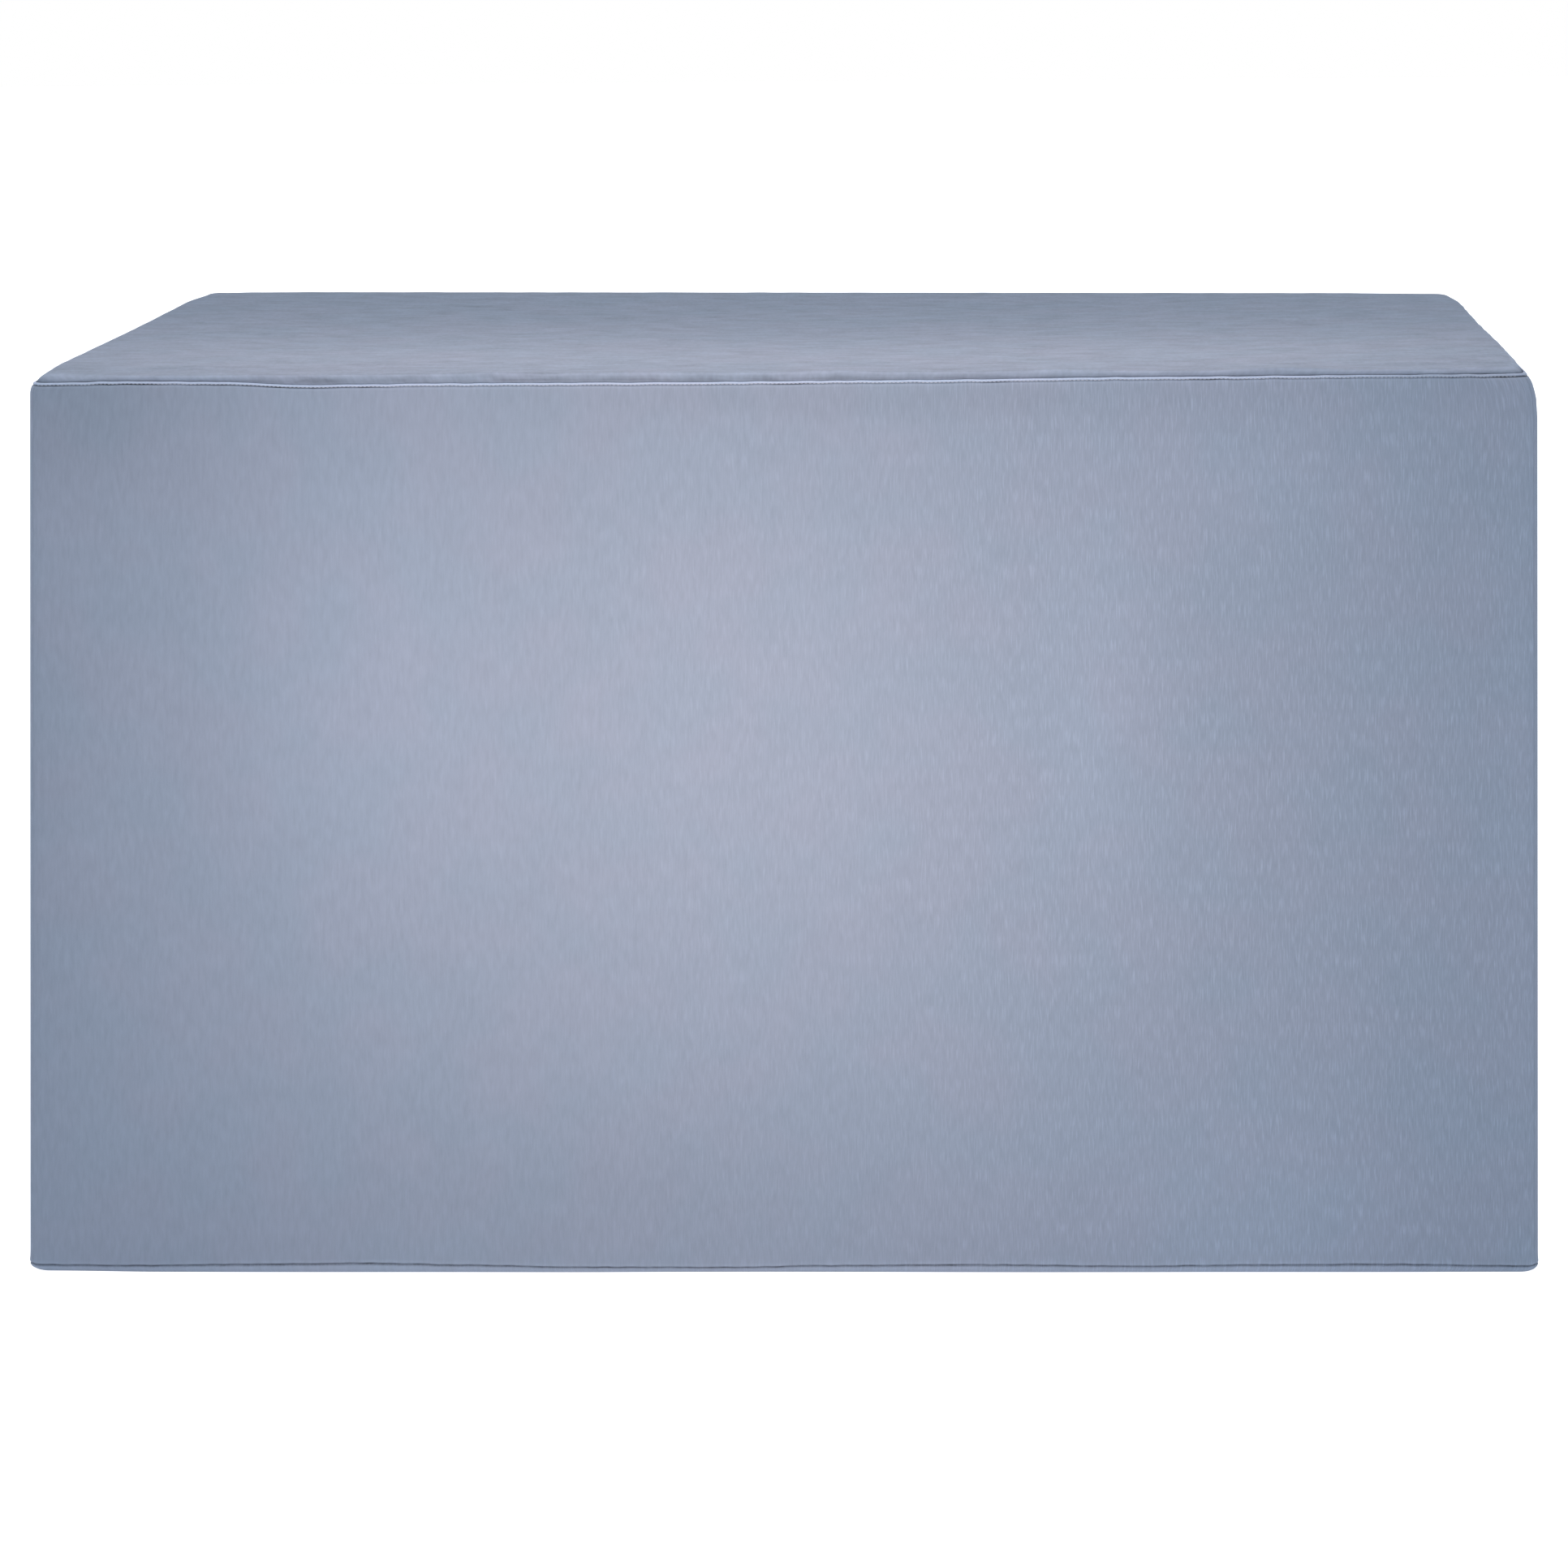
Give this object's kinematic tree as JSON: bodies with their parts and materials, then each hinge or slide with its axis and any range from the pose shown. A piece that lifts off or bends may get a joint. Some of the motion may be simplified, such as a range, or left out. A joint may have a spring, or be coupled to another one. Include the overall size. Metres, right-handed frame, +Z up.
{
  "type": "fitted patio furniture cover",
  "caption": "Box-shaped fitted cloth cover for a patio bench or small sofa: a flat top panel seamed to four upright skirt panels, hollow inside and open at a stitched hem.",
  "frame": {"origin": "middle of the cover's footprint, on the floor that its hem reaches", "axes": "+Z up, front panel facing -Y, +X to the right seen from the front"},
  "size_m": [1.5678, 0.9648, 0.937],
  "materials": {
    "cover_cloth": "matt slubbed plain weave in greyish blue, with a faint sheen",
    "sewing_thread": "twisted thread a little paler than the cloth"
  },
  "bodies": {
    "root": {"top_panel": "cover_cloth", "front_panel": "cover_cloth", "right_panel": "cover_cloth", "back_panel": "cover_cloth", "left_panel": "cover_cloth"}
  },
  "joints": []
}
